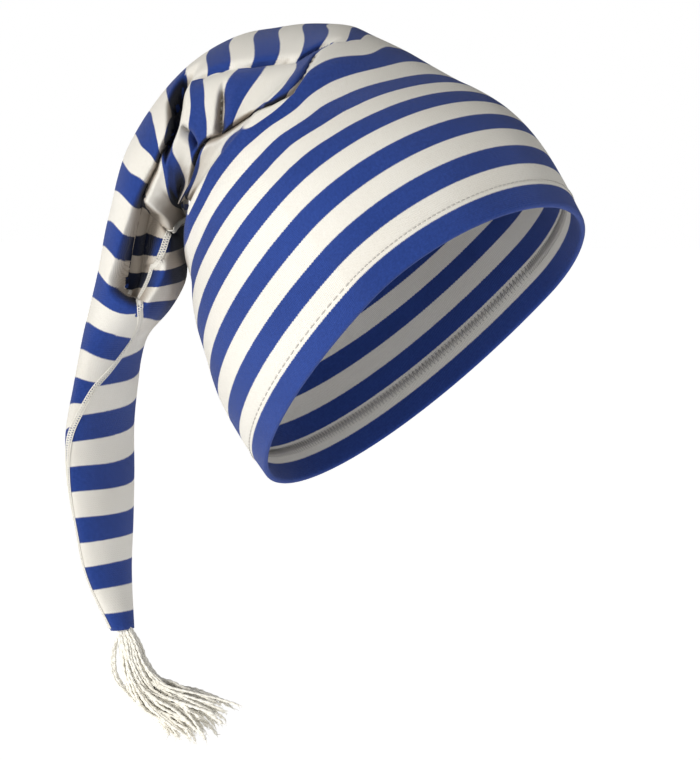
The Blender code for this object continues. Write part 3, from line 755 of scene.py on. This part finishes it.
def yarn(name, dark, pale):
    """Soft spun yarn."""
    g = Graph(name)
    place = g.add("TexCoord", output=3)
    fibre = g.noise(place, 1500.0, 3.0, 0.6)
    colour = g.mottled(fibre, g.noise(place, 60.0, 2.0), 0.6, dark, pale)
    bump = g.add("Bump", Strength=0.25, Distance=0.0003, Height=fibre)
    return g.finish(Base_Color=colour, Normal=bump, Roughness=0.95, Specular_IOR_Level=0.15,
                    Sheen_Weight=0.3, Sheen_Roughness=0.5)


# Threads
# Directions that no thread or strand runs in, to count the turns round it from
THREAD_ASIDE = (0.31, 0.47, 0.83)
STRAND_ASIDE = (0.2, 0.9, 0.35)
# Steps between the points that give the skin's direction: stripes, degrees
SKIN_STEP = 0.02
SKIN_TURN = 0.3


def unit(vectors):
    """Vectors of length 1."""
    return vectors / np.linalg.norm(vectors, axis=-1, keepdims=True)


def length_along(path):
    """The length of a path up to each of its points."""
    return np.concatenate([[0], np.cumsum(np.linalg.norm(np.diff(path, axis=0), axis=1))])


def read_at(places, known, rows):
    """Rows of values, read between their known places."""
    return np.stack([np.interp(places, known, column) for column in rows.T], 1)


def tube(path, turn, radius, aside):
    """Points and faces of a tube through a path, closed at both ends. The points of its rings lie at turns
    round the path in radians and at radii in mm."""
    along = unit(np.gradient(path, axis=0))
    side = unit(np.cross(along, aside))
    up = np.cross(side, along)
    turn, radius = turn[..., None], np.asarray(radius)[..., None]
    rings = path[:, None] + (side[:, None] * np.cos(turn) + up[:, None] * np.sin(turn)) * radius
    count, sides = rings.shape[:2]
    points = np.vstack([rings.reshape(-1, 3), path[0], path[-1]])
    a, b, last = len(points) - 2, len(points) - 1, (count - 1) * sides
    faces = ring_faces(count, sides)
    faces += [(i, (i + 1) % sides, a) for i in range(sides)]
    faces += [(last + (i + 1) % sides, last + i, b) for i in range(sides)]
    return points, faces


def thread_tube(path, radius, sides):
    """A round thread through a path of points in mm."""
    return tube(path, np.arange(sides) * 2 * np.pi / sides, radius, THREAD_ASIDE)


def gather(parts):
    """One list of points and faces from many."""
    points, faces, base = [], [], 0
    for part_points, part_faces in parts:
        points.append(part_points)
        faces += [tuple(i + base for i in face) for face in part_faces]
        base += len(part_points)
    return np.vstack(points), faces


def skin(stripe, angle, inset=0.0):
    """Points of the cap's skin, with the direction out of it."""
    here = cap_surface(stripe, angle, inset)
    down = cap_surface(stripe + SKIN_STEP, angle, inset) - cap_surface(stripe - SKIN_STEP, angle, inset)
    aside = cap_surface(stripe, angle + SKIN_TURN, inset) - cap_surface(stripe, angle - SKIN_TURN, inset)
    out = unit(np.cross(unit(down), aside))
    from_centre = here - section_at(stripe).centre
    return here, out * np.sign((out * from_centre).sum(-1))[..., None]


# Stitches outside the hem: stripe, count, then in mm: thread's radius, lift of the middle, dip of the ends
HEM_STITCH_ROW = 1.15
HEM_STITCHES = 176
STITCH_THICK = 0.28
STITCH_LIFT = 0.22
STITCH_DIP = 0.45
# Points along a stitch, and half its length as a share of the pitch
STITCH_POINTS = 7
STITCH_HALF = 0.36
# The zigzag over the hem's inner edge: turns for each stitch, its two edges from the hem's in stripes, then
# in mm: the thread's radius and its lift
EDGE_TURNS = 4
EDGE_LOW = -0.10
EDGE_HIGH = 0.42
EDGE_THICK = 0.24
EDGE_LIFT = 0.15


def build_hem_stitching(material):
    """Short stitches round the hem outside, and the edge sewn over with a zigzag inside."""
    parts = []
    pitch = 360 / HEM_STITCHES
    arch = np.linspace(-1, 1, STITCH_POINTS)
    lift = (STITCH_LIFT - STITCH_DIP * arch**4)[:, None]
    for number in range(HEM_STITCHES):
        angle = number * pitch + arch * pitch * STITCH_HALF
        here, out = skin(np.full(STITCH_POINTS, HEM_STITCH_ROW), angle)
        parts.append(thread_tube(here + out * lift, STITCH_THICK, 6))
    count = EDGE_TURNS * HEM_STITCHES
    swing = np.arange(count + 1)
    row = HEM_TOP + np.where(swing % 2 == 0, EDGE_LOW, EDGE_HIGH)
    inset = np.where(swing % 2 == 0, HEM_WALL, WALL)
    here, out = skin(row, swing * 360 / count, inset)
    dense = np.linspace(0, count, 3 * count + 1)
    parts.append(thread_tube(read_at(dense, swing, here - out * EDGE_LIFT), EDGE_THICK, 5))
    return add_mesh("hem_stitching", *gather(parts), material)


# The seam: its ends in stripes, and the points that its route is worked out at and evened over
SEAM_ENDS = (0.15, 41.9)
SEAM_POINTS = 4000
SEAM_EVEN = 61
# Its threads, in mm: the zigzag's pitch, half width, radius and lift, then the cords' place as a share of
# that half width, their sway, radius and lift
ZIGZAG_PITCH = 1.15
ZIGZAG_WIDE = 1.25
ZIGZAG_THICK = 0.27
ZIGZAG_LIFT = 0.22
CORD_PLACE = 0.95
CORD_SWAY = 0.08
CORD_THICK = 0.26
CORD_LIFT = 0.12


def build_seam(material):
    """The overlocked seam: a zigzag of thread with a cord on each side."""
    stripe = np.linspace(*SEAM_ENDS, SEAM_POINTS)
    padded = np.pad(seam_angle(stripe), SEAM_EVEN // 2, mode="edge")
    here, out = skin(stripe, np.convolve(padded, np.ones(SEAM_EVEN) / SEAM_EVEN, "valid"))
    across = np.cross(out, unit(np.gradient(here, axis=0)))
    way = length_along(here)
    even = np.arange(0, way[-1], ZIGZAG_PITCH / 6)
    here, across, out = (read_at(even, way, rows) for rows in (here, across, out))
    cycle = even / ZIGZAG_PITCH
    swing = 2 * np.abs(2 * (cycle % 1) - 1) - 1
    zigzag = here + across * (ZIGZAG_WIDE * swing)[:, None] + out * ZIGZAG_LIFT
    parts = [thread_tube(zigzag, ZIGZAG_THICK, 5)]
    for side in (-1, 1):
        sway = side * ZIGZAG_WIDE * CORD_PLACE + CORD_SWAY * np.sin(cycle * 2 * np.pi)
        parts.append(thread_tube(here + across * sway[:, None] + out * CORD_LIFT, CORD_THICK, 5))
    return add_mesh("seam_overlock", *gather(parts), material)


# Tassel, in mm from the cap's tip: along the sweep, down, and across it. The sweep is an angle in degrees.
SWEEP = 304.5
STRANDS = 108
STRAND_POINTS = 22
STRAND_RINGS = 60
STRAND_SIDES = 10
STRAND_THICK = 0.68
# A strand is two plies: length of a turn, their mean radius and their swell as shares of its thickness
PLY_TURN = 6.5
PLY_MEAN = 0.86
PLY_SWELL = 0.20
# Radians from each strand's place in the bundle to the next one's, which spreads them evenly
GOLDEN_TURN = 2.39996
# How far strands wander in mm, widely and in ripples, and the share of the way from which they flick out
WILD = 1.5
RIPPLE = 0.35
FLICK_FROM = 0.8
# Share of the way, along and down on the hollow side, along and down on the full side, half spread across
BUNDLE = (
    (0, -1.8, -4, 2.6, -4, 1.8),
    (0.05, -2.2, 0, 4.4, 0, 2.8),
    (0.14, -1.8, 6, 7.6, 5, 4.6),
    (0.28, -0.4, 13, 10.4, 12, 5.8),
    (0.42, 1.2, 21, 13.4, 18.5, 6.8),
    (0.56, 3.4, 28.5, 18.6, 23, 7.4),
    (0.7, 8.6, 35.5, 25.5, 26, 8.2),
    (0.85, 16, 41.5, 36, 28, 9),
    (1, 23, 46.5, 49, 32.5, 9.8),
)
# Strands that stray from the bundle: along, down, across, a point for each stretch
STRAYS = (
    ((-1, -3, 0), (-2, 2, 1), (-3.7, 8, 2), (-4.6, 15, 3), (-3.8, 21, 3), (-0.6, 26.5, 3), (4, 31.5, 3),
     (10, 37, 3), (17, 42, 2), (22.5, 47, 2)),
    ((-1, -3, 1), (-1.8, 2, 0), (-3, 8, 0), (-3.6, 14, 1), (-2.9, 20, 1), (0.2, 25.5, 1), (5, 30.5, 1),
     (11, 36, 0), (18, 41, 0), (25, 47.5, 0)),
    ((-1, -3, -1), (-2, 2.5, -1), (-4.2, 9, -2), (-5, 16, -2), (-3.4, 22.5, -2), (0.6, 27.5, -1),
     (6, 33, -1), (12, 38.5, -1), (19, 43, -2), (24, 48, -2)),
    ((3, -2, -1), (6.5, 6, -4), (10.5, 15, -6), (19, 23.5, -7), (31, 27, -7), (43, 30, -6), (53, 33, -6)),
    ((3, -2, 1), (6, 7, 4), (10, 16, 6), (18, 24.5, 7), (29, 28.5, 8), (40, 31, 8), (49, 36.5, 8)),
    ((1, -2, 1), (2.5, 11, 5), (8, 22, 8), (16, 32, 10), (26, 40.5, 10), (36, 47, 10)),
    ((1, -2, -1), (2, 12, -5), (6, 23, -8), (13, 33, -10), (22, 41, -10), (31, 47.5, -9)),
)


def smooth_path(points):
    """A smooth curve through points, evenly stepped."""
    fine = np.linspace(0, len(points) - 1, 400)
    slope = np.gradient(points, axis=0)
    i = np.clip(fine.astype(int), 0, len(points) - 2)
    t = (fine - i)[:, None]
    curve = curve_between(t, 1, points[i], points[i + 1], slope[i], slope[i + 1])
    way = length_along(curve)
    return read_at(np.linspace(0, way[-1], STRAND_RINGS), way, curve)


def plied(path, radius, chance):
    """A yarn of two plies twisted round each other along a path."""
    way = length_along(path)
    twist = chance.uniform(0, 2 * math.pi) + way * 2 * np.pi / PLY_TURN
    turn = np.arange(STRAND_SIDES) * 2 * np.pi / STRAND_SIDES
    lobes = radius * (PLY_MEAN + PLY_SWELL * np.cos(2 * turn))
    thinning = np.minimum(1, (way[-1] - way) / 1.2 + 0.6)[:, None]
    return tube(path, turn + twist[:, None], lobes * thinning, STRAND_ASIDE)


def frayed(path, chance):
    """The loose hairs at a strand's end."""
    heading = unit(path[-1] - path[-3])
    hairs = []
    for _ in range(4):
        bend = chance.normal(0, 0.5, 3)
        reach = chance.uniform(1.2, 2.8)
        t = np.linspace(0, 1, 5)[:, None]
        hair = path[-2] + (heading * t + bend * t**2) * reach
        hairs.append(thread_tube(hair, np.linspace(0.24, 0.09, 5)[:, None], 4))
    return hairs


def bundled(a, b, chance):
    """The route of a strand that lies at a, from the bundle's hollow side to its full side, and at b
    across it, both from -1 to 1."""
    rows = np.array(BUNDLE)
    share = np.linspace(0, chance.uniform(0.86, 1.0) + 0.07 * (1 - a * a), STRAND_POINTS)
    read = read_at(share, rows[:, 0], rows[:, 1:])
    slope = (rows[-1] - rows[-2])[1:5] / (1 - rows[-2, 0])
    beyond = np.clip(share - 1, 0, None)[:, None] * (slope[:2] * (1 - a) + slope[2:] * (1 + a)) / 2
    along, down = ((read[:, :2] * (1 - a) + read[:, 2:4] * (1 + a)) / 2 + beyond).T
    start = [chance.uniform(0, 2 * math.pi) for _ in range(4)]
    wild = WILD * smooth((share - 0.1) / 0.9)
    flick = np.clip(share - FLICK_FROM, 0, None) ** 2
    along += wild * np.sin(share * 8 + start[0]) + RIPPLE * np.sin(share * 21 + start[1])
    down += wild * np.sin(share * 7 + start[1]) + RIPPLE * np.sin(share * 19 + start[2])
    along -= chance.uniform(-30, 90) * flick
    down += chance.uniform(-30, 130) * flick
    aside = b * read[:, 4] + wild * np.sin(share * 7 + start[2]) + RIPPLE * np.sin(share * 17 + start[3])
    return np.column_stack([along, down, aside])


def build_tassel(material):
    """The yarn: twisted strands from the tip of the tail, swept to one side, with frayed ends."""
    chance = np.random.default_rng(7)
    end = cap_surface(np.full(48, TIP), np.arange(48) * 360 / 48)
    tip = np.array([end[:, 0].mean(), end[:, 1].mean(), end[:, 2].min()])
    sweep = math.radians(SWEEP)
    ahead, aside = (math.cos(sweep), math.sin(sweep), 0), (-math.sin(sweep), math.cos(sweep), 0)
    axes = np.array([ahead, (0, 0, -1), aside])
    parts = []
    for number in range(STRANDS):
        turn = number * GOLDEN_TURN
        out = math.sqrt((number + 0.5) / STRANDS)
        route = bundled(out * math.cos(turn), out * math.sin(turn), chance)
        path = smooth_path(tip + route @ axes)
        thick = STRAND_THICK * chance.uniform(0.88, 1.15) * np.linspace(0.88, 1.25, STRAND_RINGS)
        parts.append(plied(path, thick[:, None], chance))
        parts += frayed(path, chance)
    for stray in STRAYS:
        path = smooth_path(tip + np.array(stray) @ axes)
        parts.append(plied(path, STRAND_THICK, chance))
        parts += frayed(path, chance)
    return add_mesh("tassel_yarn", *gather(parts), material)


# Yarns: dark tone, pale tone
SEAM_THREAD = ((0.74, 0.71, 0.64, 1), (0.84, 0.82, 0.76, 1))
# The hem thread is ivory; its grey is painted shade, standing in for the shadow in the groove its stitches
# lie in
HEM_THREAD_WITH_PAINTED_SHADE = ((0.40, 0.38, 0.35, 1), (0.52, 0.50, 0.46, 1))
TASSEL_YARN = ((0.84, 0.80, 0.70, 1), (0.93, 0.91, 0.84, 1))

cap = build_cap(jersey())
hem = build_hem_stitching(yarn("hem_thread_painted_shade", *HEM_THREAD_WITH_PAINTED_SHADE))
seam = build_seam(yarn("thread", *SEAM_THREAD))
tassel = build_tassel(yarn("tassel_yarn", *TASSEL_YARN))
for piece, node, finish in ((cap, "cap", "striped_jersey"), (hem, "cap", "striped_jersey"),
                            (seam, "cap", "striped_jersey"), (tassel, "tassel", "tassel_yarn")):
    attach(piece, "root")
    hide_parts(node)

# Camera: degrees, and mm from the point that it was set up round
AZIMUTH = -55.5
ELEVATION = 1.6
DISTANCE = 1300
VIEW_CENTRE = Vector((0, -25, -99.5))
LOOK_ASIDE = -42.8
LOOK_UP = -42.4
VIEW_HIGH = 331.7
SENSOR = 36
# Floor, in mm
FLOOR = -470
FLOOR_HALF = 20000
# The backdrop's light: rise of the direction over which it goes from full to dim, and how dim
DIMS_FROM = 0.10
DIMS_TO = 0.30
DIM = 0.25


def view_axes():
    """The directions back to the camera, to its right and up in its picture."""
    a, e = math.radians(AZIMUTH), math.radians(ELEVATION)
    back = Vector((math.sin(a) * math.cos(e), -math.cos(a) * math.cos(e), math.sin(e)))
    right = Vector((math.cos(a), math.sin(a), 0))
    return back, right, back.cross(right)


def aim(thing, way, axis):
    """Turns an object so that one of its axes points a way."""
    thing.rotation_mode = "QUATERNION"
    thing.rotation_quaternion = way.to_track_quat(axis, "Y")


def place_camera():
    """The camera at the photograph's angle."""
    back, right, up = view_axes()
    lens = bpy.data.cameras.new("camera")
    lens.sensor_width = SENSOR
    lens.lens = SENSOR * DISTANCE / VIEW_HIGH
    lens.clip_start = 0.05
    lens.clip_end = 60
    camera = add_object("camera", lens)
    camera.location = (VIEW_CENTRE + back * DISTANCE) * MM
    aim(camera, -back * DISTANCE + right * LOOK_ASIDE + up * LOOK_UP, "-Z")
    bpy.context.scene.camera = camera


def build_floor():
    """A wide pale floor."""
    g = Graph("floor")
    pale = g.finish(Base_Color=(0.94, 0.94, 0.94, 1), Roughness=0.9, Specular_IOR_Level=0.1,
                    Emission_Color=(1, 1, 1, 1), Emission_Strength=0.64)
    corners = [(x * FLOOR_HALF, y * FLOOR_HALF, FLOOR) for x, y in ((-1, -1), (1, -1), (1, 1), (-1, 1))]
    return add_mesh("floor", corners, [(0, 1, 2, 3)], pale)


def light_backdrop():
    """Even white light from all round, dimmer from above."""
    g = Graph("studio", bpy.data.worlds)
    rise = g.add("SeparateXYZ", output=2, Vector=g.add("TexCoord"))
    level = g.ramp(rise, DIMS_FROM, DIMS_TO, 1.0, DIM)
    bpy.context.scene.world = g.finish("Background", Color=(1, 1, 1, 1), Strength=level)


def sun(name, aside, high, power, wide, colour):
    """A soft lamp far away, seen from the camera: degrees to its right, degrees up."""
    back, right, _ = view_axes()
    lamp = bpy.data.lights.new(name, "SUN")
    lamp.energy = power
    lamp.angle = math.radians(wide)
    lamp.color = colour
    side, lift = math.radians(aside), math.radians(high)
    flat = Vector((back.x, back.y, 0)).normalized()
    way = (flat * math.cos(side) + right * math.sin(side)) * math.cos(lift) + Vector((0, 0, math.sin(lift)))
    aim(add_object(name, lamp), way, "Z")


place_camera()
floor = build_floor()
light_backdrop()
sun("key", aside=-38, high=11, power=2.25, wide=12, colour=(1.0, 0.985, 0.96))
bpy.context.scene.view_settings.view_transform = "Standard"
